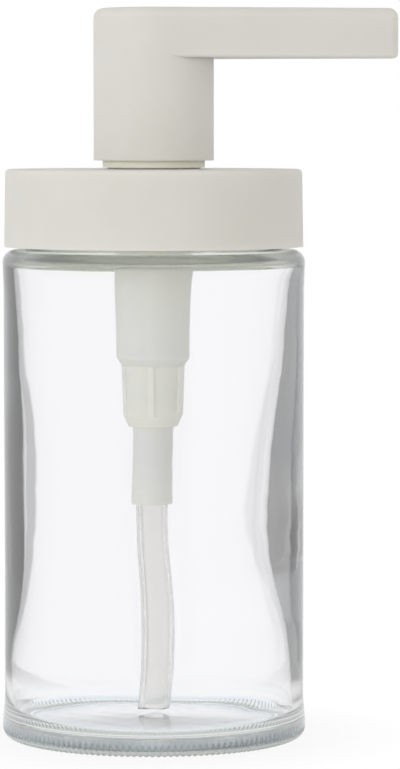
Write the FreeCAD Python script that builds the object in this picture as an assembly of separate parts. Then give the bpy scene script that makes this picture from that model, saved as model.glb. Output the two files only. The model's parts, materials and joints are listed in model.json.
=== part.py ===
"""Soap pump dispenser: a wide-mouth glass jar, a screw lid and a pump that locks down.

Millimetres. Z points up, the origin is the middle of the jar's base, and the spout points along +X.
The head is in its locked-down place, close above the lid.
"""
import FreeCAD, Part
import math
import os
from FreeCAD import Vector

# glass jar
jar_radius = 35.6  # outside, at the shoulder and at the heel
jar_waist = 0.6  # how far the side draws in below the shoulder
waist_height = 50.0
shoulder_height = 114.5
shoulder_round = 4.0
heel_round = 2.4
heel_band = 1.6  # straight part of the thick band round the heel
heel_step = 0.4  # how far the side stands in from that band
standing_ring = 4.2  # width of the flat ring that the jar stands on
base_recess = 1.1
floor_height = 4.6
floor_round = 6.0
glass_at_top = 3.2  # wall under the shoulder
glass_at_waist = 4.9
shoulder_glass = 3.4
inner_shoulder_round = 2.6
shoulder_step = 5.4  # from the jar's side in to the neck
neck_wall = 2.8
neck_height = 13.7
rim_round = 1.0

# screw lid
lid_gap = 0.7  # daylight between the lid and the shoulder
thread_depth = 1.1
thread_clearance = 0.3
insert_wall = 1.35
insert_plate = 1.6
cover_wall = 2.0
cover_plate = 1.9
cover_draft = 0.3
cover_edge_round = 1.0
insert_setback = 0.5  # inner cap's edge above the cover's edge
gasket_thickness = 1.4

# fits
seat_gap = 0.1  # between faces that turn or part on each other
press_gap = 0.02  # pushed together for good
slip_gap = 0.05  # slides or turns, sealed
guide_gap = 0.12  # stem in its guide
valve_gap = 0.1  # ball over its seat
loose_gap = 0.35

# pump body
mount_radius = 9.5  # threaded part that goes through the lid
mount_length = 13.0
flange_radius = 11.0
flange_thickness = 1.6
flange_gasket_thickness = 0.7
upper_length = 45.4  # flange down to the first step
upper_radius_low = 8.65  # outside, just over the first step
upper_taper = 0.8  # how much wider it is under the mount
first_chamfer = 1.7
lower_radius_top = 7.5
lower_radius_low = 7.0
lower_length = 12.2
second_chamfer = 2.6
step_radius = 5.85
tube_socket_length = 17.6
tube_socket_radius = 4.75
tube_socket_flare = 0.3
bore_radius = 7.6
bore_floor = 0.2  # above the first step
lower_bore_radius = 5.8
rib_count = 6
rib_width = 1.3
rib_proud = 0.35
rib_turn = -94.0  # where the first rib stands round the axis, in degrees

# inlet valve
inlet_throat_radius = 1.9
inlet_throat_length = 1.4
inlet_ball_radius = 2.5
inlet_chamber_radius = 4.6
inlet_lift = 1.5
cage_wall = 1.3
cage_below = 1.5  # ring below the arms
cage_above = 0.5
arm_width = 1.2
arm_height = 1.1
arm_count = 3

# retaining nut
nut_washer_radius = 13.5
nut_washer_height = 1.4
nut_flats = 23.0
nut_height = 6.0

# locking ring
ring_radius = 11.95
ring_wall = 1.75
ring_deck = 1.6
tower_height = 11.8  # tower above the flange
tower_round = 0.6
guide_wall = 1.5
plug_length = 6.0

# stem, piston and spring
stroke = 16.0
stem_radius = 4.0
stem_wall = 1.4
reserve_stroke = 2.0  # left under the piston when the head is locked down
carrier_radius = 3.6
carrier_flange_radius = 6.6
carrier_flange = 1.5
carrier_pilot = 2.6
carrier_spigot = 6.5
carrier_wall = 0.85
piston_length = 6.2
piston_lip = 0.8
piston_waist = 0.9
lip_depth = 1.4
spring_radius = 4.95  # to the middle of the wire
spring_wire = 1.0
spring_turns = 6

# outlet valve
outlet_throat_radius = 1.5
outlet_throat_length = 1.0
outlet_pocket_wall = 1.1
outlet_ball_radius = 2.1
outlet_lift = 1.4
outlet_stop_gap = 0.5  # stem's top over the lifted ball
stop_height = 2.0
stop_bore = 1.3  # free radius between the three stops over the ball
stop_width = 1.2

# head
head_gap = 2.0  # head above the lid when it is locked down
head_height = 35.4
head_clearance = 0.5  # head round the locking ring's tower
head_wall = 1.6
head_top = 1.8
top_round = 2.3
spout_reach = 56.9
spout_depth = 11.6
spout_tip_half = 5.0
spout_corner = 2.4
spout_under_round = 1.0
cover_strip = 1.4

# inside the head
shank_wall = 1.3
shank_clearance = 0.4
shank_length = 10.6
deck_lift = 1.5  # core's disc above the tower
disc_thickness = 1.6
hub_wall = 1.6
socket_depth = 12.5
stem_above_disc = 2.9
boss_radius = 4.1
boss_reach = 9.0
boss_socket = 2.2
fin_count = 4
fin_width = 1.2
fin_height = 7.0
channel_radius = 2.0
flow_tube_wall = 1.0
nozzle_reach = 52.4
nozzle_sleeve_radius = 3.85
nozzle_length = 9.4
flow_tube_seat = 3.5  # how far the tube goes into the nozzle
outlet_inset = 2.4  # outlet's axis from the nozzle's end
outlet_radius = 1.6
outlet_wall = 1.0

# dip tube
tube_radius = 3.85
tube_wall = 1.1
tube_foot_gap = 1.5  # over the jar's floor
tube_cut = 5.0  # slope of its lower end, in degrees
bow_turn = 4.5  # how far the tube leans out below the pump, in degrees
bow_first_radius = 150.0
bow_second_radius = 200.0

# heights and radii that follow
neck_radius = jar_radius - shoulder_step
mouth_radius = neck_radius - neck_wall
rim_z = shoulder_height + neck_height
gasket_z = rim_z + seat_gap
insert_plate_z = gasket_z + gasket_thickness + seat_gap
cover_plate_z = insert_plate_z + insert_plate
lid_top_z = cover_plate_z + cover_plate
lid_bottom_z = shoulder_height + lid_gap
insert_bore = neck_radius + thread_depth + thread_clearance
insert_radius = insert_bore + insert_wall
cover_bore = insert_radius + slip_gap
lid_radius = cover_bore + cover_wall
lid_hole = mount_radius + 2 * seat_gap

flange_gasket_z = lid_top_z + seat_gap
flange_z = flange_gasket_z + flange_gasket_thickness
flange_top_z = flange_z + flange_thickness
first_step_z = flange_z - upper_length
lower_top_z = first_step_z - first_chamfer
lower_bottom_z = lower_top_z - lower_length
second_step_z = lower_bottom_z - second_chamfer
tube_socket_z = second_step_z - tube_socket_length
nut_top_z = insert_plate_z - seat_gap
mount_bottom_z = flange_z - mount_length

inlet_seat_z = second_step_z + bore_floor
tube_stop_z = inlet_seat_z - inlet_throat_length
inlet_ball_z = inlet_seat_z - inlet_throat_radius + (inlet_ball_radius + valve_gap) * math.sqrt(2)
arm_z = inlet_ball_z + inlet_ball_radius + inlet_lift + valve_gap
cage_z = arm_z - cage_below
cage_top_z = arm_z + arm_height + cage_above
spring_bottom_z = cage_top_z + slip_gap

bore_floor_z = first_step_z + bore_floor
carrier_flange_z = bore_floor_z + reserve_stroke
carrier_flange_top_z = carrier_flange_z + carrier_flange
piston_z = carrier_flange_top_z + seat_gap
piston_top_z = piston_z + piston_length
stem_z = piston_top_z + seat_gap
stem_bore = stem_radius - stem_wall
spring_top_z = carrier_flange_z - slip_gap
guide_z = piston_top_z + stroke + loose_gap

head_z = lid_top_z + head_gap
head_top_z = head_z + head_height
head_bore = ring_radius + head_clearance
head_radius = head_bore + head_wall
spout_z = head_top_z - spout_depth
spout_ceiling_z = head_top_z - head_top
tower_z = flange_top_z + tower_height
disc_z = tower_z + deck_lift
ring_bore = ring_radius - ring_wall
shank_radius = ring_bore - shank_clearance
channel_z = (spout_z + cover_strip + spout_ceiling_z) / 2
hub_bore = stem_radius + press_gap
hub_radius = hub_bore + hub_wall
stem_top_z = disc_z + disc_thickness + stem_above_disc
flow_tube_radius = channel_radius + flow_tube_wall
flow_tube_start = boss_reach - boss_socket
outlet_x = nozzle_reach - outlet_inset
outlet_ball_z = stem_top_z - outlet_stop_gap - outlet_lift - outlet_ball_radius
outlet_seat_z = outlet_ball_z - (outlet_ball_radius + valve_gap) * math.sqrt(2) + outlet_throat_radius
nozzle_start = nozzle_reach - nozzle_length


def turned(outline):
    """A solid of revolution about Z from a closed outline.

    Each corner is (radius, height), or (radius, height, rounding) where it is rounded off.
    """
    corners = [Vector(corner[0], 0, corner[1]) for corner in outline]
    roundings = [corner[2] if len(corner) == 3 else 0 for corner in outline]
    edges = []
    starts = []
    ends = []
    for index, corner in enumerate(corners):
        rounding = roundings[index]
        if not rounding:
            starts.append(corner)
            ends.append(corner)
            continue
        back = (corners[index - 1] - corner).normalize()
        ahead = (corners[(index + 1) % len(corners)] - corner).normalize()
        half = back.getAngle(ahead) / 2
        starts.append(corner + back * (rounding / math.tan(half)))
        ends.append(corner + ahead * (rounding / math.tan(half)))
        inward = (back + ahead).normalize()
        middle = corner + inward * (rounding / math.sin(half) - rounding)
        edges.append(Part.Arc(starts[-1], middle, ends[-1]).toShape())
    for index, end in enumerate(ends):
        start = starts[(index + 1) % len(starts)]
        if end.distanceToPoint(start) > 1e-6:
            edges.append(Part.LineSegment(end, start).toShape())
    wire = Part.Wire(Part.__sortEdges__(edges))
    return Part.Face(wire).revolve(Vector(0, 0, 0), Vector(0, 0, 1), 360)


def ring(inner, outer, low, high):
    """A plain ring or, with no inner radius, a disc."""
    body = Part.makeCylinder(outer, high - low, Vector(0, 0, low))
    if inner:
        body = body.cut(Part.makeCylinder(inner, high - low, Vector(0, 0, low)))
    return body


def around(piece, count, first_angle=0.0):
    """Copies of a piece at even steps round the Z axis."""
    copies = []
    for index in range(count):
        copy = piece.copy()
        copy.rotate(Vector(0, 0, 0), Vector(0, 0, 1), first_angle + 360.0 * index / count)
        copies.append(copy)
    return copies


def level_bar(radius, start, end, height):
    """A round bar along X at the given height."""
    return Part.makeCylinder(radius, end - start, Vector(start, 0, height), Vector(1, 0, 0))


# ---- jar ----
def glass_jar():
    side_foot = heel_round + heel_band
    foot_radius = jar_radius - heel_step
    waist_radius = jar_radius - jar_waist
    ring_edge = jar_radius - heel_round - standing_ring
    inside_top = shoulder_height - shoulder_glass
    return turned([
        (0, base_recess),
        (ring_edge - base_recess, base_recess),
        (ring_edge, 0),
        (jar_radius, 0, heel_round),
        (jar_radius, side_foot),
        (foot_radius, side_foot + heel_band),
        (waist_radius, waist_height),
        (jar_radius, shoulder_height, shoulder_round),
        (neck_radius, shoulder_height),
        (neck_radius, rim_z, rim_round),
        (mouth_radius, rim_z, rim_round),
        (mouth_radius, inside_top),
        (jar_radius - glass_at_top, inside_top, inner_shoulder_round),
        (waist_radius - glass_at_waist, waist_height),
        (foot_radius - glass_at_waist, floor_height, floor_round),
        (0, floor_height),
    ])


# ---- lid ----
def lid_gasket():
    return ring(mouth_radius + seat_gap, insert_bore - seat_gap, gasket_z, gasket_z + gasket_thickness)


def lid_insert():
    """The threaded inner cap, with a lead-in at its mouth."""
    foot = lid_bottom_z + insert_setback
    lead = thread_clearance + insert_wall / 3
    return turned([
        (lid_hole, insert_plate_z),
        (insert_bore, insert_plate_z),
        (insert_bore, foot + lead),
        (insert_bore + lead, foot),
        (insert_radius, foot),
        (insert_radius, cover_plate_z),
        (lid_hole, cover_plate_z),
    ])


def lid_cover():
    """The smooth outer shell, drawn in a little towards its top."""
    return turned([
        (lid_hole, cover_plate_z),
        (cover_bore, cover_plate_z),
        (cover_bore, lid_bottom_z),
        (lid_radius, lid_bottom_z),
        (lid_radius - cover_draft, lid_top_z, cover_edge_round),
        (lid_hole, lid_top_z),
    ])


# ---- pump body ----
def pump_housing():
    """Flange, threaded mount, tapered upper barrel, ribbed lower barrel and the tube's socket."""
    outside = turned([
        (0, tube_socket_z),
        (tube_socket_radius + tube_socket_flare, tube_socket_z),
        (tube_socket_radius, tube_socket_z + tube_socket_length / 2),
        (tube_socket_radius, second_step_z),
        (step_radius, second_step_z),
        (lower_radius_low, lower_bottom_z),
        (lower_radius_top, lower_top_z),
        (upper_radius_low, first_step_z),
        (upper_radius_low + upper_taper, mount_bottom_z),
        (mount_radius, mount_bottom_z),
        (mount_radius, flange_z),
        (flange_radius, flange_z),
        (flange_radius, flange_top_z),
        (0, flange_top_z),
    ])
    inlet_rise = inlet_chamber_radius - inlet_throat_radius
    socket_bore = tube_radius + press_gap
    inside = turned([
        (0, tube_socket_z),
        (socket_bore, tube_socket_z),
        (socket_bore, tube_stop_z),
        (inlet_throat_radius, tube_stop_z),
        (inlet_throat_radius, inlet_seat_z),
        (inlet_chamber_radius, inlet_seat_z + inlet_rise),
        (inlet_chamber_radius, cage_z),
        (lower_bore_radius, cage_z),
        (lower_bore_radius, bore_floor_z),
        (bore_radius, bore_floor_z),
        (bore_radius, flange_top_z),
        (0, flange_top_z),
    ])
    rib_depth = lower_radius_top + rib_proud
    rib = Part.makeBox(rib_depth, rib_width, lower_top_z - lower_bottom_z,
                       Vector(0, -rib_width / 2, lower_bottom_z))
    proud = turned([
        (0, lower_bottom_z),
        (lower_radius_low + rib_proud, lower_bottom_z),
        (lower_radius_top + rib_proud, lower_top_z),
        (0, lower_top_z),
    ])
    ribs = [piece.common(proud) for piece in around(rib, rib_count, rib_turn)]
    return outside.fuse(ribs).cut(inside).removeSplitter()


def flange_gasket():
    return ring(mount_radius + slip_gap, flange_radius - seat_gap, flange_gasket_z, flange_z)


def retaining_nut():
    """A hexagon nut with a washer face against the underside of the lid."""
    corner = nut_flats / math.sqrt(3)
    washer_z = nut_top_z - nut_washer_height
    points = [Vector(corner * math.cos(math.radians(angle)), corner * math.sin(math.radians(angle)),
                     nut_top_z - nut_height) for angle in range(0, 420, 60)]
    hexagon = Part.Face(Part.makePolygon(points)).extrude(Vector(0, 0, nut_height))
    softened = turned([
        (0, nut_top_z - nut_height),
        (nut_flats / 2, nut_top_z - nut_height),
        (corner + slip_gap, nut_top_z - nut_height + (corner - nut_flats / 2)),
        (corner + slip_gap, nut_top_z),
        (0, nut_top_z),
    ])
    bore = ring(0, mount_radius + slip_gap, nut_top_z - nut_height, nut_top_z)
    washer = ring(0, nut_washer_radius, washer_z, nut_top_z)
    return hexagon.common(softened).fuse(washer).cut(bore).removeSplitter()


def locking_ring():
    """Skirt over the flange, deck, guide for the stem, and the tower that the head locks onto."""
    deck_z = flange_top_z + ring_deck
    guide_bore = stem_radius + guide_gap
    guide_radius = guide_bore + guide_wall
    plug_z = flange_top_z - plug_length
    plug_radius = bore_radius - slip_gap
    skirt_z = lid_top_z + loose_gap
    return turned([
        (guide_bore, guide_z),
        (guide_radius, guide_z),
        (guide_radius, plug_z),
        (plug_radius, plug_z),
        (plug_radius, flange_top_z),
        (flange_radius + seat_gap, flange_top_z),
        (flange_radius + seat_gap, skirt_z),
        (ring_radius, skirt_z),
        (ring_radius, tower_z, tower_round),
        (ring_bore, tower_z),
        (ring_bore, deck_z),
        (guide_bore, deck_z),
    ])


def ball_retainer():
    """A ring with arms that meet over the inlet ball; the spring stands on it."""
    outer = lower_bore_radius - press_gap
    inner = outer - cage_wall
    cage = ring(inner, outer, cage_z, cage_top_z)
    arm = Part.makeBox(inner + cage_wall / 2, arm_width, arm_height, Vector(0, -arm_width / 2, arm_z))
    return cage.fuse(around(arm, arm_count)).removeSplitter()


def inlet_ball():
    return Part.makeSphere(inlet_ball_radius, Vector(0, 0, inlet_ball_z))


# ---- stem, piston and spring ----
def piston():
    """Two thin lips against the barrel, each with a groove behind it, and a drawn-in waist."""
    inner = carrier_radius + seat_gap
    outer = bore_radius - slip_gap
    waist = outer - piston_waist
    root = outer - piston_lip - piston_waist
    return turned([
        (inner, piston_z),
        (inner + 1.0, piston_z),
        (root, piston_z + lip_depth),
        (outer - piston_lip / 3, piston_z),
        (outer, piston_z),
        (outer, piston_z + piston_lip),
        (waist, piston_z + piston_lip + piston_waist),
        (waist, piston_top_z - piston_lip - piston_waist),
        (outer, piston_top_z - piston_lip),
        (outer, piston_top_z),
        (outer - piston_lip / 3, piston_top_z),
        (root, piston_top_z - lip_depth),
        (inner + 1.0, piston_top_z),
        (inner, piston_top_z),
    ])


def piston_carrier():
    """Hollow end of the stem: spring flange below, piston seat, and the spigot in the stem."""
    spigot_radius = stem_bore - press_gap
    bore = spigot_radius - carrier_wall
    pilot_radius = spring_radius - spring_wire / 2 - loose_gap
    pilot_z = carrier_flange_z - carrier_pilot
    return turned([
        (bore, pilot_z),
        (pilot_radius, pilot_z),
        (pilot_radius, carrier_flange_z),
        (carrier_flange_radius, carrier_flange_z),
        (carrier_flange_radius, carrier_flange_top_z),
        (carrier_radius, carrier_flange_top_z),
        (carrier_radius, stem_z),
        (spigot_radius, stem_z),
        (spigot_radius, stem_z + carrier_spigot),
        (bore, stem_z + carrier_spigot),
    ])


def stem():
    """Hollow rod with the outlet valve's throat, seat and pocket at its top."""
    pocket_radius = stem_radius - outlet_pocket_wall
    return turned([
        (stem_bore, stem_z),
        (stem_radius, stem_z),
        (stem_radius, stem_top_z),
        (pocket_radius, stem_top_z),
        (pocket_radius, outlet_seat_z + pocket_radius - outlet_throat_radius),
        (outlet_throat_radius, outlet_seat_z),
        (outlet_throat_radius, outlet_seat_z - outlet_throat_length),
        (stem_bore, outlet_seat_z - outlet_throat_length - (stem_bore - outlet_throat_radius)),
    ])


def outlet_ball():
    return Part.makeSphere(outlet_ball_radius, Vector(0, 0, outlet_ball_z))


def return_spring():
    """A wire wound between the ball retainer and the carrier's flange; its section is a hexagon."""
    wire_radius = spring_wire / 2
    length = spring_top_z - spring_bottom_z - spring_wire
    path = Part.makeHelix(length / spring_turns, length, spring_radius)
    path.translate(Vector(0, 0, spring_bottom_z + wire_radius))
    angles = [math.radians(angle) for angle in range(30, 420, 60)]
    section = Part.makePolygon([
        Vector(spring_radius + wire_radius * math.cos(angle), 0,
               spring_bottom_z + wire_radius * (1 + math.sin(angle)))
        for angle in angles
    ])
    return Part.Wire(path).makePipeShell([section], True, True)


# ---- dip tube ----
def dip_tube():
    """A tube pushed up into its socket, leaning out below the pump and back again lower down."""
    foot_z = floor_height + tube_foot_gap
    lean = math.radians(bow_turn)
    first_drop = bow_first_radius * math.sin(lean)
    second_drop = tube_socket_z - first_drop - foot_z
    back = math.asin(second_drop / bow_second_radius - math.sin(lean))
    first_out = bow_first_radius * (1 - math.cos(lean))
    top = Vector(0, 0, tube_stop_z)
    mouth = Vector(0, 0, tube_socket_z)
    first_end = Vector(first_out, 0, tube_socket_z - first_drop)

    def on_first(angle):
        return Vector(bow_first_radius * (1 - math.cos(angle)), 0,
                      tube_socket_z - bow_first_radius * math.sin(angle))

    def on_second(angle):
        out = bow_second_radius * (math.cos(angle) - math.cos(lean))
        drop = bow_second_radius * (math.sin(lean) - math.sin(angle))
        return first_end + Vector(out, 0, -drop)

    path = Part.Wire([
        Part.LineSegment(top, mouth).toShape(),
        Part.Arc(mouth, on_first(lean / 2), first_end).toShape(),
        Part.Arc(first_end, on_second((lean - back) / 2), on_second(-back)).toShape(),
    ])
    outer = Part.Wire(Part.Circle(top, Vector(0, 0, 1), tube_radius).toShape())
    inner = Part.Wire(Part.Circle(top, Vector(0, 0, 1), tube_radius - tube_wall).toShape())
    solid = path.makePipeShell([outer], True, False)
    hollow = path.makePipeShell([inner], True, False)
    tube = solid.cut(hollow)
    reach = 4 * tube_radius
    trim = Part.makeBox(2 * reach, 2 * reach, reach, Vector(-reach, -reach, -reach))
    trim.rotate(Vector(0, 0, 0), Vector(0, 1, 0), tube_cut)
    trim.translate(on_second(-back) + Vector(0, 0, tube_radius * math.tan(math.radians(tube_cut))))
    return tube.cut(trim)


# ---- head ----
def spout_plan(inset, low, high):
    """The head in plan, set in by a wall: a round boss whose sides run on as tangents to the tip."""
    radius = head_radius - inset
    reach = spout_reach - inset
    slope = math.asin(head_radius / math.hypot(spout_reach, spout_tip_half))
    slope -= math.atan2(spout_tip_half, spout_reach)
    touch_x = radius * math.sin(slope)
    touch_y = radius * math.cos(slope)
    tip_y = (radius - reach * math.sin(slope)) / math.cos(slope)
    left = Vector(touch_x, touch_y, low)
    right = Vector(touch_x, -touch_y, low)
    tip_left = Vector(reach, tip_y, low)
    tip_right = Vector(reach, -tip_y, low)
    outline = [
        Part.Arc(left, Vector(-radius, 0, low), right).toShape(),
        Part.makeLine(right, tip_right),
        Part.makeLine(tip_right, tip_left),
        Part.makeLine(tip_left, left),
    ]
    body = Part.Face(Part.Wire(outline)).extrude(Vector(0, 0, high - low))
    corners = [edge for edge in body.Edges if is_upright(edge) and abs(edge.Vertexes[0].X - reach) < 1e-6]
    return body.makeFillet(max(spout_corner - inset, spout_corner / 4), corners)


def is_upright(edge):
    """True for a straight edge that runs along Z."""
    first, last = edge.Vertexes[0].Point, edge.Vertexes[-1].Point
    return first.distanceToPoint(last) > 1e-6 and math.hypot(first.x - last.x, first.y - last.y) < 1e-6


def level_edges(body, height):
    """All the edges of a body that lie at one height."""
    return [edge for edge in body.Edges if max(abs(v.Z - height) for v in edge.Vertexes) < 1e-6]


def pump_head():
    """One moulding: a deep round skirt and a spout that runs out of it with no seam."""
    spout = spout_plan(0, spout_z, head_top_z)
    spout = spout.makeFillet(top_round, level_edges(spout, head_top_z))
    spout = spout.makeFillet(spout_under_round, level_edges(spout, spout_z))
    skirt = Part.makeCylinder(head_radius, spout_z + spout_under_round - head_z, Vector(0, 0, head_z))
    bore = Part.makeCylinder(head_bore, spout_z - head_z, Vector(0, 0, head_z))
    hollow = spout_plan(head_wall, spout_z, spout_ceiling_z)
    return spout.fuse(skirt).cut(bore).cut(hollow).removeSplitter()


def spout_cover():
    """The strip that closes the spout from below, with the hole for the outlet."""
    strip = spout_plan(head_wall + slip_gap, spout_z, spout_z + cover_strip)
    boss = Part.makeCylinder(head_radius + slip_gap, cover_strip, Vector(0, 0, spout_z))
    outlet = Part.makeCylinder(outlet_radius + outlet_wall + slip_gap, cover_strip,
                               Vector(outlet_x, 0, spout_z))
    return strip.cut(boss).cut(outlet)


def head_core():
    """Socket for the stem, lock shank, seating disc with fins, and the boss for the flow tube."""
    disc_radius = head_bore - slip_gap
    disc_top = disc_z + disc_thickness
    hub_top = channel_z + boss_radius
    hub_foot = stem_top_z - socket_depth
    hub = ring(0, hub_radius, hub_foot, hub_top)
    disc = ring(0, disc_radius, disc_z, disc_top)
    shank = ring(shank_radius - shank_wall, shank_radius, disc_z - shank_length, disc_z)
    fin = Part.makeBox(disc_radius - slip_gap, fin_width, fin_height,
                       Vector(0, -fin_width / 2, disc_top))
    fins = around(fin, fin_count, 45.0)
    boss = level_bar(boss_radius, 0, boss_reach, channel_z)
    socket = ring(0, hub_bore, hub_foot, stem_top_z)
    stop_top = stem_top_z + stop_height
    riser = ring(0, stem_bore, stem_top_z, stop_top)
    stop = Part.makeBox(stem_bore, stop_width, stop_height, Vector(stop_bore, -stop_width / 2, stem_top_z))
    riser = riser.cut(around(stop, arm_count))
    upper = ring(0, stem_bore, stop_top, channel_z)
    across = level_bar(channel_radius, 0, boss_reach, channel_z)
    tube_seat = level_bar(flow_tube_radius + press_gap, flow_tube_start, boss_reach, channel_z)
    body = hub.fuse([disc, shank, boss] + fins)
    return body.cut([socket, riser, upper, across, tube_seat]).removeSplitter()


def flow_tube():
    tube = level_bar(flow_tube_radius, flow_tube_start, nozzle_start + flow_tube_seat, channel_z)
    return tube.cut(level_bar(channel_radius, flow_tube_start, nozzle_start + flow_tube_seat, channel_z))


def spout_nozzle():
    """An elbow: a sleeve over the flow tube's end, and the outlet that points down through the cover."""
    seat_end = nozzle_start + flow_tube_seat
    sleeve = level_bar(nozzle_sleeve_radius, nozzle_start, nozzle_reach, channel_z)
    outlet = Part.makeCylinder(outlet_radius + outlet_wall, channel_z - spout_z, Vector(outlet_x, 0, spout_z))
    seat = level_bar(flow_tube_radius + press_gap, nozzle_start, seat_end, channel_z)
    channel = level_bar(channel_radius, seat_end, outlet_x, channel_z)
    drop = Part.makeCylinder(outlet_radius, channel_z - spout_z, Vector(outlet_x, 0, spout_z))
    return sleeve.fuse(outlet).cut([seat, channel, drop]).removeSplitter()


pieces = [
    glass_jar, lid_gasket, lid_insert, lid_cover,
    pump_housing, flange_gasket, retaining_nut, locking_ring, ball_retainer, inlet_ball,
    piston, piston_carrier, stem, outlet_ball, return_spring, dip_tube,
    pump_head, spout_cover, head_core, flow_tube, spout_nozzle,
]
os.makedirs("parts", exist_ok=True)
for piece in pieces:
    shape = piece()
    print(piece.__name__, shape.ShapeType, len(shape.Solids), shape.isValid(), round(shape.Volume, 1))
    shape.exportStep(f"parts/{piece.__name__}.step")
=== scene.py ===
import bpy
import json
import math
import numpy as np
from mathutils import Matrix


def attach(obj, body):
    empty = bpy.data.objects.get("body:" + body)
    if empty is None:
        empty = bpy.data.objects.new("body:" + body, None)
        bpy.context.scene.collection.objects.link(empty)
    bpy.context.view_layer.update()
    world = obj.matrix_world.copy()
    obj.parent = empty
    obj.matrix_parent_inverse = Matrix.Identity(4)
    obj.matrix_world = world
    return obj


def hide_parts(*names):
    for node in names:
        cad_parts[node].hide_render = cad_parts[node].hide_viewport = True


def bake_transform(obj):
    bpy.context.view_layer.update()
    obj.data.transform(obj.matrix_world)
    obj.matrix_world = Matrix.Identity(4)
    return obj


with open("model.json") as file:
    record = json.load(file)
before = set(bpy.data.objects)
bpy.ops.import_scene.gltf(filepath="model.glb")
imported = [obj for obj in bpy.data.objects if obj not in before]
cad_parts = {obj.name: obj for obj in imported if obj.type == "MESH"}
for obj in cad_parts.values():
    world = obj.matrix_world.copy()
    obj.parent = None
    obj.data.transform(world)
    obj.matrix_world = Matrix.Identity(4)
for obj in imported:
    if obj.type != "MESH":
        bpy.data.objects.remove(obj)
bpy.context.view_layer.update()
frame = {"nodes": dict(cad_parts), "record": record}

nodes = frame["nodes"]
mm = 0.001
turn = 2 * math.pi

# helpers for meshes


def addObject(name, data):
    # An object that holds the data, linked into the scene.
    thing = bpy.data.objects.new(name, data)
    bpy.context.scene.collection.objects.link(thing)
    return thing


def smoothStep(value):
    # Zero to one with level ends.
    return value * value * (3 - 2 * value)


def roundedLine(corners, arcSteps=8, longest=1.2):
    # A path of straight runs whose corners (r, z, rounding) become arcs, cut into short steps, in mm.
    line = []
    count = len(corners)
    for index, corner in enumerate(corners):
        here = np.array(corner[:2], float)
        rounding = corner[2] if len(corner) == 3 else 0.0
        if not rounding or index in (0, count - 1):
            line.append(here[None, :])
            continue
        back = np.array(corners[index - 1][:2], float) - here
        ahead = np.array(corners[index + 1][:2], float) - here
        back /= np.linalg.norm(back)
        ahead /= np.linalg.norm(ahead)
        half = math.acos(float(np.clip(back @ ahead, -1, 1))) / 2
        middle = here + (back + ahead) / np.linalg.norm(back + ahead) * rounding / math.sin(half)
        start = here + back * rounding / math.tan(half) - middle
        end = here + ahead * rounding / math.tan(half) - middle
        sweep = math.acos(float(np.clip(start @ end / rounding ** 2, -1, 1)))
        share = np.linspace(0, 1, max(math.ceil(arcSteps * sweep / (turn / 4)), 2) + 1)[:, None]
        arc = np.sin((1 - share) * sweep) * start + np.sin(share * sweep) * end
        line.append(middle + arc / math.sin(sweep))
    line = np.concatenate(line)
    runs = np.linalg.norm(np.diff(line, axis=0), axis=1)
    steps = np.maximum(np.ceil(runs / longest).astype(int), 1)
    parts = [line[k] + (line[k + 1] - line[k]) * (np.arange(n) / n)[:, None] for k, n in enumerate(steps)]
    return np.concatenate(parts + [line[-1:]])


def joinRings(low, high):
    # Faces between two rings of points: quads, or fans where one ring has a few times the other's points.
    if len(low) == len(high):
        return np.stack([low, np.roll(low, -1), np.roll(high, -1), high], axis=-1).tolist()
    few, many = sorted((low, high), key=len)
    split = len(many) // len(few)
    half = split // 2
    ahead = np.roll(few, -1)
    run, nextRun = many.reshape(-1, split), np.roll(many, -1).reshape(-1, split)
    tips = np.where(np.arange(split) < half, few[:, None], ahead[:, None])
    fans = np.stack([tips, nextRun, run], axis=-1)
    wedges = np.stack([few, ahead, run[:, half]], axis=-1)[:, None]
    faces = np.concatenate([fans[:, :half], wedges, fans[:, half:]], axis=1).reshape(-1, 3)
    return (faces if len(low) < len(high) else faces[:, ::-1]).tolist()


def gridPiece(name, rings, body, material, closed=False, poles=(None, None)):
    # A skin over rings of points in mm: each ring wraps round, the last joins the first where closed, and a
    # pole closes an open end in a fan. A piece given no body here is left unattached.
    starts = np.cumsum([0] + [len(ring) for ring in rings])
    ids = [np.arange(first, last) for first, last in zip(starts, starts[1:])]
    faces = [face for low, high in zip(ids, ids[1:] + ids[:1] * closed) for face in joinRings(low, high)]
    points = np.concatenate(list(rings))
    for pole, ring, flip in ((poles[0], ids[0], True), (poles[1], ids[-1], False)):
        if pole is None:
            continue
        tip = np.full(len(ring), len(points))
        points = np.vstack([points, pole])
        pair = (np.roll(ring, -1), ring) if flip else (ring, np.roll(ring, -1))
        faces += np.stack([pair[0], pair[1], tip], axis=-1).tolist()
    mesh = bpy.data.meshes.new(name)
    mesh.from_pydata((points * mm).tolist(), [], faces)
    mesh.validate()
    mesh.shade_smooth()
    mesh.materials.append(material)
    piece = addObject(name, mesh)
    if body:
        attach(piece, body)
    return piece


def turned(line, columns, shape):
    # A profile (r, z) swung round Z: (r cos a, r sin a, z), where shape changes r and z by the angle a.
    angle = np.arange(columns) / columns * turn
    radius = np.repeat(line[:, :1], columns, axis=1)
    height = np.repeat(line[:, 1:2], columns, axis=1)
    radius, height = shape(radius, height, angle[None, :])
    return np.stack([radius * np.cos(angle), radius * np.sin(angle), height], axis=-1)


def screwRidge(angle, height, thread):
    # A cosine hump across the thread, made fuller by a power below one, that climbs one pitch a turn from its
    # start and fades in and out over its ends.
    hump = np.zeros(np.broadcast(angle, height).shape)
    for lap in range(-1, math.ceil(thread["turns"]) + 1):
        along = angle / turn + lap - thread["startTurn"]
        centre = thread["startHeight"] + thread["pitch"] * along
        across = np.clip(np.abs(height - centre) / thread["halfWidth"], 0, 1)
        ends = smoothStep(np.clip(np.minimum(along, thread["turns"] - along) / thread["fade"], 0, 1))
        hump = np.maximum(hump, (0.5 + 0.5 * np.cos(across * math.pi)) ** thread["fullness"] * ends)
    return hump


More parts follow.
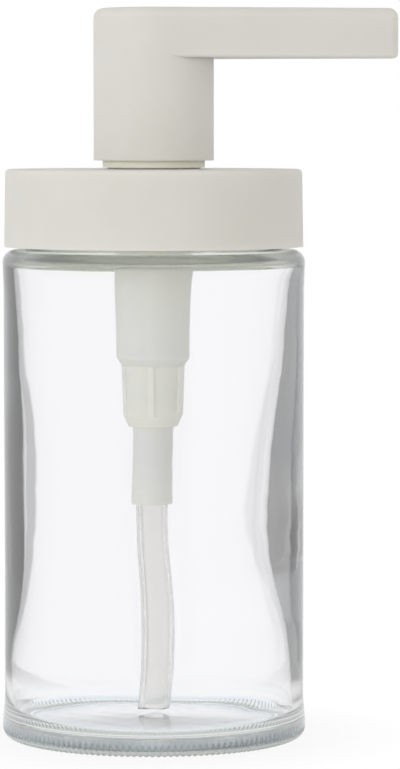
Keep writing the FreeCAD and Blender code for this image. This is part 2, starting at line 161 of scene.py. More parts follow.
def smoothBump(value, centre, width):
    # A bell curve of height one: e to minus the square of the distance from its centre, in widths.
    return np.exp(-((value - centre) / width) ** 2)


def waves(rows, angle, height):
    # Sines added up, each given by its size, its count round the axis, its height a radian and its lag.
    return sum(size * np.sin(count * angle + height / rise + lag) for size, count, rise, lag in rows)


# helpers for materials

noiseSpan = (0.3, 0.7)  # the values that noise mostly keeps to


def newMaterial(name, values):
    # A Principled surface with its plain numbers set on its own sockets.
    material = bpy.data.materials.new(name)
    material.use_nodes = True
    shader = material.node_tree.nodes["Principled BSDF"]
    for socket, value in values.items():
        shader.inputs[socket].default_value = value
    return material, material.node_tree, shader


def addNode(tree, kind, **values):
    # A node with its sockets set by name.
    node = tree.nodes.new(kind)
    for socket, value in values.items():
        node.inputs[socket].default_value = value
    return node


def noise(tree, scale, detail=2.0, roughness=0.5, stretch=None):
    # Noise on the piece's own coordinates, in cycles a metre, stretched where asked.
    place = tree.nodes.new("ShaderNodeTexCoord").outputs["Object"]
    if stretch:
        mapping = addNode(tree, "ShaderNodeMapping", Scale=stretch)
        tree.links.new(place, mapping.inputs["Vector"])
        place = mapping.outputs["Vector"]
    node = addNode(tree, "ShaderNodeTexNoise", Scale=scale, Detail=detail, Roughness=roughness)
    tree.links.new(place, node.inputs["Vector"])
    return node.outputs["Fac"]


def remap(tree, socket, low, high, toLow, toHigh):
    # A straight-line change of range, held at its ends.
    node = tree.nodes.new("ShaderNodeMapRange")
    for name, value in zip(("From Min", "From Max", "To Min", "To Max"), (low, high, toLow, toHigh)):
        node.inputs[name].default_value = value
    tree.links.new(socket, node.inputs["Value"])
    return node.outputs["Result"]


def blendColours(tree, socket, first, second):
    # Two colours mixed by a factor.
    node = tree.nodes.new("ShaderNodeMix")
    node.data_type = "RGBA"
    node.inputs["A"].default_value = (*first, 1)
    node.inputs["B"].default_value = (*second, 1)
    tree.links.new(socket, node.inputs["Factor"])
    return node.outputs["Result"]


def feed(tree, target, value):
    # A socket set to a number, or fed by another socket.
    if isinstance(value, (int, float)):
        target.default_value = value
    else:
        tree.links.new(value, target)


def combine(tree, operation, first, second=0.0):
    # One sum on one or two values, each a socket or a number.
    node = tree.nodes.new("ShaderNodeMath")
    node.operation = operation
    feed(tree, node.inputs[0], first)
    feed(tree, node.inputs[1], second)
    return node.outputs[0]


def mixTones(tree, share, first, second):
    # A blend of two brightnesses, each a socket or a number.
    node = tree.nodes.new("ShaderNodeMix")
    tree.links.new(share, node.inputs["Factor"])
    feed(tree, node.inputs["A"], first)
    feed(tree, node.inputs["B"], second)
    return node.outputs["Result"]


def mixShaders(tree, share, first, second):
    # A blend of two surfaces.
    node = tree.nodes.new("ShaderNodeMixShader")
    for target, socket in zip(node.inputs, (share, first, second)):
        tree.links.new(socket, target)
    return node.outputs["Shader"]


def colourRamp(tree, stops, socket):
    # Colours, or grey tones given as one number, set out along a factor.
    node = tree.nodes.new("ShaderNodeValToRGB")
    while len(node.color_ramp.elements) < len(stops):
        node.color_ramp.elements.new(0.5)
    for stop, (at, colour) in zip(node.color_ramp.elements, stops):
        stop.position = at
        stop.color = (*colour, 1) if isinstance(colour, tuple) else (colour, colour, colour, 1)
    tree.links.new(socket, node.inputs["Fac"])
    return node.outputs["Color"]


def bumpFrom(tree, shader, socket, strength, distance, before=None):
    # Surface relief from a height socket, on top of an earlier one where given.
    node = addNode(tree, "ShaderNodeBump", Strength=strength, Distance=distance)
    tree.links.new(socket, node.inputs["Height"])
    if before is not None:
        tree.links.new(before, node.inputs["Normal"])
    tree.links.new(node.outputs["Normal"], shader.inputs["Normal"])
    return node.outputs["Normal"]


def linear(red, green, blue):
    # Screen colour 0..255 to the linear values that shaders use.
    channels = np.array([red, green, blue]) / 255
    bent = np.where(channels <= 0.04045, channels / 12.92, ((channels + 0.055) / 1.055) ** 2.4)
    return tuple(float(value) for value in bent)


# finishes: scales in cycles a metre, depths in metres
ivory = {
    "colour": linear(225, 223, 216), "shade": linear(223, 220, 212), "roughness": (0.42, 0.54),
    "grain": 5200.0, "grainDepth": 0.00002, "grainStrength": 0.35, "sink": 45.0, "sinkSpan": (0.35, 0.65),
    "sinkDepth": 0.0003, "sinkStrength": 0.08, "soft": 0.6, "scatter": 0.003,
    "scatterTint": (1.0, 0.94, 0.72), "bend": 1.48,
}


def mouldedPlastic(name, look):
    # Satin moulded plastic: a slow drift of colour and gloss, a fine spark-eroded grain and faint sinks.
    material, tree, shader = newMaterial(name, {
        "Subsurface Weight": look["soft"], "Subsurface Scale": look["scatter"],
        "Subsurface Radius": look["scatterTint"], "IOR": look["bend"]})
    drift = noise(tree, look["sink"], detail=3.0)
    grain = noise(tree, look["grain"], roughness=0.6)
    colour = blendColours(tree, remap(tree, drift, *look["sinkSpan"], 0, 1), look["colour"], look["shade"])
    tree.links.new(colour, shader.inputs["Base Color"])
    tree.links.new(remap(tree, grain, *noiseSpan, *look["roughness"]), shader.inputs["Roughness"])
    first = bumpFrom(tree, shader, drift, look["sinkStrength"], look["sinkDepth"])
    bumpFrom(tree, shader, grain, look["grainStrength"], look["grainDepth"], first)
    return material


ivoryPlastic = mouldedPlastic("ivoryPlastic", ivory)
naturalPlastic = mouldedPlastic("naturalPlastic", dict(
    ivory, colour=linear(226, 227, 224), shade=linear(216, 217, 212), roughness=(0.30, 0.42)))

tubeLook = {
    "colour": linear(254, 253, 252), "haze": linear(253, 252, 250), "transmission": 0.93, "bend": 1.49,
    "lines": 500.0, "lineStretch": (1.0, 1.0, 0.02), "lineDepth": 0.00002, "lineStrength": 0.02,
    "cloud": 120.0, "roughness": (0.10, 0.18),
}


def clearTubeMaterial():
    # Extruded translucent tube with faint draw lines along it and a slight haze.
    material, tree, shader = newMaterial("clearTubePlastic", {
        "IOR": tubeLook["bend"], "Transmission Weight": tubeLook["transmission"]})
    lines = noise(tree, tubeLook["lines"], detail=1.0, stretch=tubeLook["lineStretch"])
    cloud = noise(tree, tubeLook["cloud"])
    colour = blendColours(tree, cloud, tubeLook["colour"], tubeLook["haze"])
    tree.links.new(colour, shader.inputs["Base Color"])
    tree.links.new(remap(tree, lines, *noiseSpan, *tubeLook["roughness"]), shader.inputs["Roughness"])
    bumpFrom(tree, shader, lines, tubeLook["lineStrength"], tubeLook["lineDepth"])
    return material


clearTube = clearTubeMaterial()

foamLook = {
    "colour": linear(252, 252, 248), "shade": linear(240, 240, 234), "cells": 2600.0, "cellDepth": 0.0001,
    "cellStrength": 0.5, "roughness": (0.75, 0.95),
}


def foamMaterial():
    # Closed-cell foam: small round cells under a dull skin.
    material, tree, shader = newMaterial("whiteFoam", {})
    voronoi = addNode(tree, "ShaderNodeTexVoronoi", Scale=foamLook["cells"])
    tree.links.new(tree.nodes.new("ShaderNodeTexCoord").outputs["Object"], voronoi.inputs["Vector"])
    cells = voronoi.outputs["Distance"]
    colour = blendColours(tree, cells, foamLook["colour"], foamLook["shade"])
    tree.links.new(colour, shader.inputs["Base Color"])
    tree.links.new(remap(tree, cells, 0, 1, *foamLook["roughness"]), shader.inputs["Roughness"])
    bumpFrom(tree, shader, cells, foamLook["cellStrength"], foamLook["cellDepth"])
    return material


whiteFoam = foamMaterial()

steelLook = {
    "colour": linear(190, 190, 192), "shade": linear(160, 161, 165), "tone": 200.0, "scratch": 1500.0,
    "scratchStretch": (1.0, 1.0, 0.2), "scratchDepth": 0.00002, "scratchStrength": 0.2,
    "roughness": (0.16, 0.34),
}


def steelMaterial():
    # Drawn stainless steel with fine scratches and a slow change of tone.
    material, tree, shader = newMaterial("brightSteel", {"Metallic": 1.0})
    scratch = noise(tree, steelLook["scratch"], 3.0, 0.6, stretch=steelLook["scratchStretch"])
    colour = blendColours(tree, noise(tree, steelLook["tone"]), steelLook["colour"], steelLook["shade"])
    tree.links.new(colour, shader.inputs["Base Color"])
    tree.links.new(remap(tree, scratch, *noiseSpan, *steelLook["roughness"]), shader.inputs["Roughness"])
    bumpFrom(tree, shader, scratch, steelLook["scratchStrength"], steelLook["scratchDepth"])
    return material


brightSteel = steelMaterial()

# heights in metres; a ray counts as trapped once it has turned back more often than "turns"
glassLook = {
    "bend": 1.5, "ripple": 34.0, "rippleStretch": (1.0, 1.0, 0.45), "rippleStrength": 0.35,
    "rippleDepth": 0.0002, "peel": 160.0, "peelStrength": 0.15, "peelDepth": 0.00008, "smooth": (0.0, 0.015),
    "shoulder": (0.1105, 0.1125), "dull": (0.10, 0.18), "under": (0.0012, 0.0018), "frost": 0.15,
    "milk": 0.65, "turns": 3.5, "tall": 0.13,
    # colour up the glass: faintly green at the shoulder; the dark and blue-grey bands low down are painted
    # shade
    "tintsAndPaintedShade": (
        (0.0, linear(190, 200, 192)), (0.0007, linear(200, 209, 202)), (0.001, linear(253, 254, 253)),
        (0.0013, linear(253, 254, 253)), (0.0018, linear(204, 214, 207)), (0.0026, linear(214, 230, 246)),
        (0.0042, linear(250, 252, 254)), (0.008, linear(253, 253, 254)), (0.109, linear(253, 253, 254)),
        (0.113, linear(252, 254, 250))),
    "letOut": (0.27, 0.285, 0.30), "clear": (0.985, 0.99, 0.985),
}


def glassMaterial():
    # Clear pressed glass: a slow ripple and a fine orange peel in its skin, duller on the shoulder and neck,
    # frosted and a little milky under the base, and faintly green at the shoulder. Painted shade lies in the
    # heel: dark green-grey and blue bands are painted into its colour across the foot and heel.
    material, tree, shader = newMaterial("clearGlass", {"IOR": glassLook["bend"]})
    split = addNode(tree, "ShaderNodeSeparateXYZ")
    tree.links.new(addNode(tree, "ShaderNodeTexCoord").outputs["Object"], split.inputs["Vector"])
    shoulder = remap(tree, split.outputs["Z"], *glassLook["shoulder"], 0, 1)
    ripple = noise(tree, glassLook["ripple"], detail=1.0, roughness=0.4, stretch=glassLook["rippleStretch"])
    peel = noise(tree, glassLook["peel"], detail=1.0)
    stops = [(height / glassLook["tall"], colour) for height, colour in glassLook["tintsAndPaintedShade"]]
    climb = remap(tree, split.outputs["Z"], 0, glassLook["tall"], 0, 1)
    tree.links.new(colourRamp(tree, stops, climb), shader.inputs["Base Color"])
    smooth = remap(tree, peel, *noiseSpan, *glassLook["smooth"])
    dull = remap(tree, ripple, *noiseSpan, *glassLook["dull"])
    under = remap(tree, split.outputs["Z"], *glassLook["under"], 1, 0)
    tree.links.new(mixTones(tree, under, mixTones(tree, shoulder, smooth, dull), glassLook["frost"]),
                   shader.inputs["Roughness"])
    tree.links.new(mixTones(tree, under, 1.0, glassLook["milk"]), shader.inputs["Transmission Weight"])
    first = bumpFrom(tree, shader, ripple, glassLook["rippleStrength"], glassLook["rippleDepth"])
    bumpFrom(tree, shader, peel, glassLook["peelStrength"], glassLook["peelDepth"], first)
    # light from the lamps and off other surfaces goes straight through, so that the pump inside is lit; a ray
    # that is trapped in the wall is let out, dimmed once
    path = tree.nodes.new("ShaderNodeLightPath")
    lighting = combine(tree, "MAXIMUM", path.outputs["Is Shadow Ray"], path.outputs["Is Diffuse Ray"])
    trapped = combine(tree, "GREATER_THAN", path.outputs["Glossy Depth"], glassLook["turns"])
    again = combine(tree, "GREATER_THAN", path.outputs["Transparent Depth"], 0.5)
    dimmed = tree.nodes.new("ShaderNodeBsdfTransparent")
    tree.links.new(blendColours(tree, again, glassLook["letOut"], glassLook["clear"]), dimmed.inputs["Color"])
    clear = addNode(tree, "ShaderNodeBsdfTransparent", Color=(*glassLook["clear"], 1))
    surface = mixShaders(tree, trapped, shader.outputs["BSDF"], dimmed.outputs["BSDF"])
    surface = mixShaders(tree, lighting, surface, clear.outputs["BSDF"])
    tree.links.new(surface, tree.nodes["Material Output"].inputs["Surface"])
    return material


clearGlass = glassMaterial()

finishes = {
    "clear_glass": clearGlass, "ivory_plastic": ivoryPlastic, "natural_plastic": naturalPlastic,
    "clear_tube": clearTube, "white_foam": whiteFoam, "steel": brightSteel,
}
for subpart in frame["record"]["subparts"]:
    meshData = nodes[subpart["node"]].data
    meshData.materials.clear()
    meshData.materials.append(finishes[subpart["material_slot"]])

# copies of the ivory painted lighter than the rest to make up for shade: painted light, not another plastic
# the nut and the inner cap under the lid: painted lighter against the shade inside the lid
shadeLiftedInnerPlastic = mouldedPlastic("shadeLiftedInnerPlastic", dict(
    ivory, colour=linear(253, 253, 249), shade=linear(251, 251, 246), soft=0.0))
# the pump housing: painted lighter against the shade inside the jar
shadeLiftedHousingPlastic = mouldedPlastic("shadeLiftedHousingPlastic", dict(
    ivory, colour=linear(238, 237, 229), shade=linear(235, 233, 224)))
# the locking ring: painted lighter and warmer, a painted glow standing in for light in the gap under the head
shadeLiftedWarmPlastic = mouldedPlastic("shadeLiftedWarmPlastic", dict(
    ivory, colour=linear(248, 247, 233), shade=linear(246, 244, 228), soft=0.0))
# the copies painted lighter go on the nut, the locking ring and the pump housing
nodes["retaining_nut"].data.materials[0] = shadeLiftedInnerPlastic
nodes["locking_ring"].data.materials[0] = shadeLiftedWarmPlastic
nodes["pump_housing"].data.materials[0] = shadeLiftedHousingPlastic
print("finishes ready")

# glass jar, in mm: "neckTo", "lipFrom" and "boreFrom" lie under the rim, "rounds" are its profile's roundings
jar = {
    "radius": 35.5, "waist": 35.2, "neck": 30.2, "mouth": 27.4, "rim": 128.2, "shoulder": 114.5,
    "innerTop": 32.8, "innerWaist": 31.8, "innerFoot": 33.2, "throat": 113.9, "ceiling": 111.4,
    "innerWaistAt": 50.0, "floor": 3.3, "dome": 1.7, "ring": (29.6, 35.6), "recess": 1.1, "recessEdge": 27.9,
    "middle": 0.6, "heel": 4.2, "waistFrom": 9.0, "waistTo": 105.0, "neckFrom": 0.5, "neckTo": 1.05,
    "lipFrom": 1.0, "boreFrom": 1.3, "columns": 225, "threadRise": 0.28,
    "rounds": {"recess": 0.5, "ring": 0.8, "heel": 1.5, "waistFrom": 20.0, "waistTo": 30.0, "shoulder": 3.0,
               "lip": 0.95, "throat": 2.0, "ceiling": 1.6, "innerWaist": 300.0, "floor": 4.5},
}
# moulded grooves round the heel, cut across its rounding and faded out under the foot and up the side; the
# mesh has "split" times the columns there
notches = {
    "count": 150, "depth": 0.28, "rounding": 2.4, "foot": (31.6, 32.8), "side": (2.1, 3.0), "split": 4,
    "beyond": 30.2, "below": 3.6,
}
jarThread = {
    "startHeight": 118.6, "pitch": 4.2, "startTurn": 0.35, "turns": 1.55, "halfWidth": 1.35, "fullness": 0.7,
    "fade": 0.07, "depth": 1.05, "from": 115.2, "to": 127.4, "beyond": 30,
}
# inner wall's radius up the jar, all round and where it bulges in on the spout's side; "sway" waves the
# outside and "ripple" the inside, in rows for waves()
wall = {
    "heights": [4, 8, 14, 18.7, 24, 28, 33, 36.5, 40, 44, 49.5,
                55, 61, 67, 73, 79, 85, 94.5, 104, 108.5, 112],
    "around": [32.8, 33.1, 33.2, 33.1, 32.6, 32.1, 31.5, 31.1, 30.8, 30.6, 30.4,
               30.4, 30.5, 30.7, 31.0, 31.4, 31.8, 32.0, 32.5, 32.75, 32.8],
    "spoutSide": [32.6, 32.7, 32.7, 32.5, 32.0, 31.4, 30.3, 29.5, 28.7, 28.0, 27.7,
                  28.0, 28.5, 29.0, 29.6, 30.1, 30.5, 31.0, 31.9, 32.5, 32.75],
    "spread": 1.2, "from": 6.0, "fadeIn": 4, "to": 110.6, "fadeOut": 3, "thin": 0.05,
    "sway": ((0.03, 2, 21, 0), (0.02, 3, -15, 1.2)), "ripple": ((0.06, 3, -9.5, 0), (0.042, 5, 7, 2)),
}
# small waves over the floor inside, which fade out towards the wall and above the floor
floorWave = {
    "depth": 0.05, "across": 1.3, "lag": 1, "along": 1.7, "slant": 1.5, "slantShare": 0.6, "edge": 31,
    "fade": 6, "over": 3,
}


def cutNotches(radius, height, angle, outer):
    # Grooves cut along the normal of the heel's rounding, by 0.5 + 0.5 cos(count x angle) of their depth.
    inFoot, outFoot = notches["foot"]
    lowSide, highSide = notches["side"]
    share = outer * np.clip((radius - inFoot) / (outFoot - inFoot), 0, 1)
    share = share * np.clip((highSide - height) / (highSide - lowSide), 0, 1)
    cut = notches["depth"] * share * (0.5 + 0.5 * np.cos(notches["count"] * angle))
    centre = jar["ring"][1] - notches["rounding"]
    out = np.clip((radius - centre) / notches["rounding"], 0, 1)
    down = np.clip((notches["rounding"] - height) / notches["rounding"], 0, 1)
    return radius - cut * out, height + cut * down


def innerWall(height, angle):
    # The inside's radius: the wall is thickest at the waist and bulges in on the spout's side as a bell curve
    # of the angle, with small slow ripples over it.
    side = np.arctan2(np.sin(angle), np.cos(angle))
    around = np.interp(height, wall["heights"], wall["around"])
    bulge = np.interp(height, wall["heights"], wall["spoutSide"]) - around
    return around + bulge * smoothBump(side, 0.0, wall["spread"]) + waves(wall["ripple"], angle, height)


def floorLift(radius, height, angle):
    # How far the floor's waves lift it: a sine one way times a cosine the other, and a sine on the slant.
    across, along = radius * np.cos(angle), radius * np.sin(angle)
    wave = np.sin(across / floorWave["across"] + floorWave["lag"]) * np.cos(along / floorWave["along"])
    wave = wave + floorWave["slantShare"] * np.sin((across + along) / floorWave["slant"])
    low = np.clip((floorWave["edge"] - radius) / floorWave["fade"], 0, 1)
    low = low * np.clip(jar["floor"] + floorWave["over"] - height, 0, 1)
    return low * floorWave["depth"] * wave


def jarSkin(radius, height, angle):
    # Outside: a screw ridge on the neck, a faint sway of the side and grooves round the heel. Inside: the
    # uneven wall, and a floor that waves a little.
    inner = insideRow[:, None] * np.ones_like(angle)
    outer = 1 - inner
    up = np.clip((height - wall["from"]) / wall["fadeIn"], 0, 1)
    up = up * np.clip((wall["to"] - height) / wall["fadeOut"], 0, 1)
    onNeck = outer * (height > jarThread["from"]) * (height < jarThread["to"])
    onNeck = onNeck * (radius > jarThread["beyond"])
    radius = radius + onNeck * screwRidge(angle, height, jarThread) * jarThread["depth"]
    radius = radius - outer * up * (wall["thin"] + waves(wall["sway"], angle, height))
    radius, height = cutNotches(radius, height, angle, outer)
    lift = inner * floorLift(radius, height, angle)
    return radius + inner * up * (innerWall(height, angle) - radius), height + lift


def jarProfile():
    # From the middle of the base out over the heel, up the side, over the rim and down inside to the floor.
    ringIn, ringOut = jar["ring"]
    rim, rounds = jar["rim"], jar["rounds"]
    outside = roundedLine([
        (jar["middle"], jar["recess"]), (jar["recessEdge"], jar["recess"], rounds["recess"]),
        (ringIn, 0.0, rounds["ring"]), (ringOut, 0.0, notches["rounding"]),
        (ringOut, jar["heel"], rounds["heel"]), (jar["waist"], jar["waistFrom"], rounds["waistFrom"]),
        (jar["waist"], jar["waistTo"], rounds["waistTo"]),
        (jar["radius"], jar["shoulder"], rounds["shoulder"]), (jar["neck"], jar["shoulder"])],
        arcSteps=10, longest=1.3)
    neck = roundedLine([(jar["neck"], jar["shoulder"] + jar["neckFrom"]), (jar["neck"], rim - jar["neckTo"])],
                       longest=jar["threadRise"])
    lip = roundedLine([
        (jar["neck"], rim - jar["lipFrom"]), (jar["neck"], rim, rounds["lip"]),
        (jar["mouth"], rim, rounds["lip"]), (jar["mouth"], rim - jar["lipFrom"])], longest=1.0)
    inside = roundedLine([
        (jar["mouth"], rim - jar["boreFrom"]), (jar["mouth"], jar["throat"], rounds["throat"]),
        (jar["innerTop"], jar["ceiling"], rounds["ceiling"]),
        (jar["innerWaist"], jar["innerWaistAt"], rounds["innerWaist"]),
        (jar["innerFoot"], jar["floor"], rounds["floor"]), (jar["middle"], jar["floor"] + jar["dome"])],
        arcSteps=12, longest=1.3)
    line = np.concatenate([outside, neck, lip, inside])
    return line, (np.arange(len(line)) >= len(line) - len(inside)).astype(float)


jarLine, insideRow = jarProfile()
fineGrid = turned(jarLine, jar["columns"] * notches["split"], jarSkin)
heelRow = (insideRow == 0) & (jarLine[:, 0] > notches["beyond"]) & (jarLine[:, 1] < notches["below"])
jarRings = [ring if fine else ring[::notches["split"]] for ring, fine in zip(fineGrid, heelRow)]
jarGlass = gridPiece("jarGlass", jarRings, "jar", clearGlass,
                     poles=((0, 0, jar["recess"]), (0, 0, jar["floor"] + jar["dome"])))
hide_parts("glass_jar")
print("jar ready", len(jarGlass.data.polygons))

# inner cap, in mm: "threadFrom" lies over the lead-in, "threadTo" under the plate, and "seam" parts two runs
innerCap = {
    "outer": 32.95, "bore": 31.6, "hole": 9.7, "foot": 115.7, "footIn": 0.3, "lead": 0.75, "plate": 129.8,
    "top": 131.4, "edge": 0.15, "threadFrom": 0.4, "threadTo": 1.0, "seam": 0.1, "rise": 0.28, "columns": 144,
}
# its thread lies half a pitch off the jar's, so that each runs in the other's gap, and ends low enough to
# stay under the gasket when the lid is unscrewed
capThread = dict(jarThread, startHeight=118.0, startTurn=-0.293, turns=0.8, depth=0.95)


def capSkin(radius, height, angle):
    # The bore carries a ridge that stands inwards.
    onBore = np.isclose(radius, innerCap["bore"])
    return radius - onBore * screwRidge(angle, height, capThread) * capThread["depth"], height


def capProfile():
    # Out over the foot, up the side, in over the plate and back down the threaded bore to its lead-in.
    outer, bore, hole = innerCap["outer"], innerCap["bore"], innerCap["hole"]
    foot, plate, top = innerCap["foot"], innerCap["plate"], innerCap["top"]
    edge, lead, seam = innerCap["edge"], innerCap["lead"], innerCap["seam"]
    low, high = foot + lead + innerCap["threadFrom"], plate - innerCap["threadTo"]
    shell = roundedLine([
        (outer - innerCap["footIn"], foot), (outer, foot, edge), (outer, top, edge), (hole, top, edge),
        (hole, plate, edge), (bore, plate, 2 * edge), (bore, high + seam)])
    thread = roundedLine([(bore, high), (bore, low)], longest=innerCap["rise"])
    mouth = roundedLine([
        (bore, low - seam), (bore, foot + lead, edge), (bore + lead, foot, edge),
        (outer - innerCap["footIn"] - seam, foot)])
    return np.concatenate([shell, thread, mouth])


# the inner cap wears the plastic painted lighter against the shade under the lid
threadedCap = gridPiece("lidInsertThreaded", turned(capProfile(), innerCap["columns"], capSkin), "lid",
                        shadeLiftedInnerPlastic, closed=True)
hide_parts("lid_insert")
print("inner cap ready")

# dip tube, in mm, its lean in degrees; "wanderWaves" are rows for waves()
dipTube = {
    "outer": 3.85, "inner": 2.75, "top": 71.0, "socket": 54.6, "foot": 6.1, "lean": 4.5,
    "firstRadius": 150.0, "secondRadius": 200.0, "rows": 90, "columns": 72, "wander": 0.035, "free": 6,
    "wanderWaves": ((0.6, 1, 3.1, 0), (0.4, 0, 7.3, 0)), "cut": 0.24,
    "cutWaves": ((0.18, 1, 2.6), (0.10, 3, 0.6), (0.05, 7, 0.0)),
}


def tubeSkin():
    # A round tube whose middle runs straight, then along two arcs out and back: x = R1 - sqrt(R1^2 - d^2) in
    # the first, d being the drop below the socket, and x = x1 + sqrt(R2^2 - s^2) - R2 cos(lean) in the
    # second, s being the drop left to where it hangs straight. Its lower end is a slightly ragged cut.
    lean = math.radians(dipTube["lean"])
    first, second = dipTube["firstRadius"], dipTube["secondRadius"]
    share = np.linspace(0, 1, dipTube["rows"])[:, None]
    angle = np.arange(dipTube["columns"])[None, :] / dipTube["columns"] * turn
    ragged = sum(size * np.sin(count * angle + lag) for size, count, lag in dipTube["cutWaves"])
    ragged = dipTube["cut"] + ragged
    height = dipTube["foot"] + ragged + (dipTube["top"] - dipTube["foot"] - ragged) * share
    drop = np.clip(dipTube["socket"] - height, 0, None)
    firstDrop = first * math.sin(lean)
    early = first - np.sqrt(first ** 2 - np.minimum(drop, firstDrop) ** 2)
    across = second * math.sin(lean) - np.clip(drop - firstDrop, 0, None)
    late = np.where(drop > firstDrop, np.sqrt(second ** 2 - across ** 2) - second * math.cos(lean), 0)
    middle = early + late
    free = np.clip((dipTube["socket"] - height) / dipTube["free"], 0, 1)
    wave = 1 + waves(dipTube["wanderWaves"], angle, height)
    loops = []
    for radius in (dipTube["outer"], dipTube["inner"]):
        swell = radius - free * dipTube["wander"] * wave
        loops.append(np.stack([middle + swell * np.cos(angle), swell * np.sin(angle), height], -1))
    return np.concatenate([loops[0], loops[1][::-1]])


dipTubePiece = gridPiece("dipTubeBody", tubeSkin(), "pump_body", clearTube, closed=True)
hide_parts("dip_tube")
print("dip tube ready")

# spring, in mm
spring = {
    "radius": 4.95, "wire": 0.5, "low": 79.93, "high": 90.85, "turns": 6.0, "endTurns": 1.1, "endPitch": 0.32,
    "around": 14, "steps": 420,
}


def springCoil():
    # A round wire carried along a helix, (r cos a, r sin a), whose first and last turns lie nearly flat.
    share = np.linspace(0, 1, spring["steps"])
    angle = share * spring["turns"] * turn
    ends = smoothStep(np.clip(np.minimum(share, 1 - share) * spring["turns"] / spring["endTurns"], 0, 1))
    rise = np.cumsum(spring["endPitch"] + (1 - spring["endPitch"]) * ends)
    rise = (rise - rise[0]) / (rise[-1] - rise[0])
    low, high = spring["low"] + spring["wire"], spring["high"] - spring["wire"]
    across, along = spring["radius"] * np.cos(angle), spring["radius"] * np.sin(angle)
    middle = np.stack([across, along, low + (high - low) * rise], -1)
    ahead = np.gradient(middle, axis=0)
    ahead /= np.linalg.norm(ahead, axis=1, keepdims=True)
    out = np.stack([np.cos(angle), np.sin(angle), np.zeros_like(angle)], -1)
    out -= ahead * np.sum(out * ahead, axis=1, keepdims=True)
    out /= np.linalg.norm(out, axis=1, keepdims=True)
    side = np.cross(ahead, out)
    turnRound = np.arange(spring["around"]) / spring["around"] * turn
    ringOut = out[:, None, :] * np.cos(turnRound)[None, :, None]
    ringSide = side[:, None, :] * np.sin(turnRound)[None, :, None]
    return middle[:, None, :] + spring["wire"] * (ringOut + ringSide), middle


springGrid, springMiddle = springCoil()
returnSpring = gridPiece("springCoil", springGrid, None, brightSteel,
                         poles=(springMiddle[0], springMiddle[-1]))
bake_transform(returnSpring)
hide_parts("return_spring")
print("spring ready")

# studio, in metres and degrees, and the lens in mm
camera = {
    "place": (0.01081, -0.8874, 0.1410), "tilt": 3.753, "lens": 177.38, "sensor": 36.0, "clip": (0.01, 50),
}


def addCamera():
    # A long lens, level with the collar and tipped down to the middle of the jar.
    data = bpy.data.cameras.new("camera")
    data.sensor_width = camera["sensor"]
    data.lens = camera["lens"]
    data.clip_start, data.clip_end = camera["clip"]
    thing = addObject("camera", data)
    thing.location = camera["place"]
    thing.rotation_euler = (math.radians(90 - camera["tilt"]), 0, 0)
    bpy.context.scene.camera = thing


addCamera()

# what glass and gloss see round the object: a white card behind the jar, which rays that cross the jar find,
# and dark flags either side, which rays that turn back inside its wall find; both go from one side to the
# other, and pale out for steep rays and, on the floor, near the jar
studio = {
    "floorRadius": 4.0, "floorSides": 96, "floorColour": 0.9, "floorRoughness": 0.7, "nearFloor": (0.05, 0.2),
    "shade": (0.036, 0.062), "shadeTone": 0.84, "room": (0.9, 0.57), "roomClimb": (0.1, 0.9),
    "steepClimb": (0.25, 0.6), "seen": 0.88, "steep": 0.95, "crossings": 3.5, "aim": (0, 0, 0.09),
    "card": ((0.0, 1.0), (0.22, 1.0), (0.24, 0.5), (0.315, 0.5), (0.33, 1.0),
             (0.67, 1.0), (0.69, 0.86), (0.76, 0.86), (0.78, 1.0), (1.0, 1.0)),
    "flags": ((0.0, 0.26), (0.12, 0.145), (0.3, 0.13), (0.455, 0.13), (0.485, 0.42), (0.515, 0.42),
              (0.545, 0.09), (0.65, 0.10), (0.68, 0.34), (0.93, 0.34), (1.0, 0.24)),
}


def glassRay(tree, path):
    # One for a ray that comes through glass or off gloss.
    return combine(tree, "MAXIMUM", path.outputs["Is Transmission Ray"], path.outputs["Is Glossy Ray"])


def surroundings(tree, place, steepness):
    # Brightness by the bearing of a direction or of a place on the floor, apart for rays that crossed the jar
    # and rays that left it through one wall, and paler where they leave it steeply.
    level = addNode(tree, "ShaderNodeVectorMath")
    level.operation = "MULTIPLY"
    level.inputs[1].default_value = (1, 1, 0)
    unit = addNode(tree, "ShaderNodeVectorMath")
    unit.operation = "NORMALIZE"
    split = addNode(tree, "ShaderNodeSeparateXYZ")
    tree.links.new(place, level.inputs[0])
    tree.links.new(level.outputs["Vector"], unit.inputs[0])
    tree.links.new(unit.outputs["Vector"], split.inputs["Vector"])
    path = addNode(tree, "ShaderNodeLightPath")
    bearing = remap(tree, split.outputs["X"], -1, 1, 0, 1)
    card = mixTones(tree, steepness, colourRamp(tree, studio["card"], bearing), 1.0)
    flags = mixTones(tree, steepness, colourRamp(tree, studio["flags"], bearing), studio["steep"])
    crossed = combine(tree, "GREATER_THAN", path.outputs["Transmission Depth"], studio["crossings"])
    through = mixTones(tree, crossed, flags, card)
    return mixTones(tree, path.outputs["Is Reflection Ray"], through, studio["seen"])


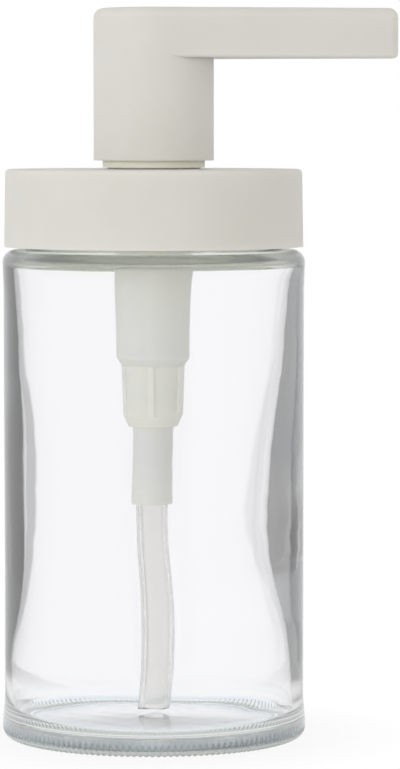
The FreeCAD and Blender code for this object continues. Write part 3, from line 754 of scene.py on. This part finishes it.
def addFloor():
    # A round pale floor under the jar: plain white to the camera but for the jar's own shadow.
    sides = studio["floorSides"]
    angle = np.arange(sides) / sides * turn
    points = np.stack([np.cos(angle), np.sin(angle), np.zeros(sides)], -1) * studio["floorRadius"]
    mesh = bpy.data.meshes.new("floor")
    mesh.from_pydata(points.tolist(), [], [list(range(sides))])
    thing = addObject("floor", mesh)
    material, tree, shader = newMaterial("paleFloor", {
        "Roughness": studio["floorRoughness"], "Base Color": (*[studio["floorColour"]] * 3, 1)})
    place = addNode(tree, "ShaderNodeTexCoord").outputs["Object"]
    reach = addNode(tree, "ShaderNodeVectorMath")
    reach.operation = "LENGTH"
    tree.links.new(place, reach.inputs[0])
    path = addNode(tree, "ShaderNodeLightPath")
    glow = addNode(tree, "ShaderNodeEmission")
    card = surroundings(tree, place, remap(tree, reach.outputs["Value"], *studio["nearFloor"], 1, 0))
    tree.links.new(combine(tree, "MAXIMUM", card, path.outputs["Is Camera Ray"]), glow.inputs["Strength"])
    share = remap(tree, reach.outputs["Value"], *studio["shade"], studio["shadeTone"], 1)
    share = combine(tree, "MULTIPLY", share, path.outputs["Is Camera Ray"])
    share = combine(tree, "MAXIMUM", share, glassRay(tree, path))
    surface = mixShaders(tree, share, shader.outputs["BSDF"], glow.outputs["Emission"])
    tree.links.new(surface, tree.nodes["Material Output"].inputs["Surface"])
    mesh.materials.append(material)


addFloor()


def addWorld():
    # White to the camera, the card and flags to glass and gloss, and for light a room that dims overhead.
    world = bpy.data.worlds.new("studio")
    bpy.context.scene.world = world
    world.use_nodes = True
    tree = world.node_tree
    background = tree.nodes["Background"]
    background.inputs["Color"].default_value = (1, 1, 1, 1)
    path = addNode(tree, "ShaderNodeLightPath")
    direction = addNode(tree, "ShaderNodeTexCoord").outputs["Generated"]
    split = addNode(tree, "ShaderNodeSeparateXYZ")
    tree.links.new(direction, split.inputs["Vector"])
    climb = combine(tree, "ABSOLUTE", split.outputs["Z"])
    room = remap(tree, climb, *studio["roomClimb"], *studio["room"])
    card = surroundings(tree, direction, remap(tree, climb, *studio["steepClimb"], 0, 1))
    strength = mixTones(tree, glassRay(tree, path), room, card)
    strength = combine(tree, "MAXIMUM", strength, path.outputs["Is Camera Ray"])
    tree.links.new(strength, background.inputs["Strength"])


addWorld()

lamps = {
    "key": {"place": (-1.1, -1.05, 0.25), "size": 0.8, "power": 6.6, "colour": (0.965, 0.98, 1)},
    "fill": {"place": (0.6, -1.3, 0.25), "size": 0.8, "power": 1.7, "colour": (1, 0.95, 0.85)},
}


def addLamps():
    # Square soft boxes aimed at the middle of the jar.
    for name, lamp in lamps.items():
        data = bpy.data.lights.new(name, "AREA")
        data.energy = lamp["power"]
        data.size = lamp["size"]
        data.color = lamp["colour"]
        thing = addObject(name, data)
        thing.location = lamp["place"]
        thing.visible_transmission = thing.visible_glossy = False
        aim = np.array(studio["aim"]) - np.array(lamp["place"])
        flat = math.hypot(aim[0], aim[1])
        thing.rotation_euler = (math.pi / 2 - math.atan2(-aim[2], flat), 0, math.atan2(-aim[0], aim[1]))


addLamps()
bpy.context.scene.view_settings.view_transform = "Standard"
print("studio ready")
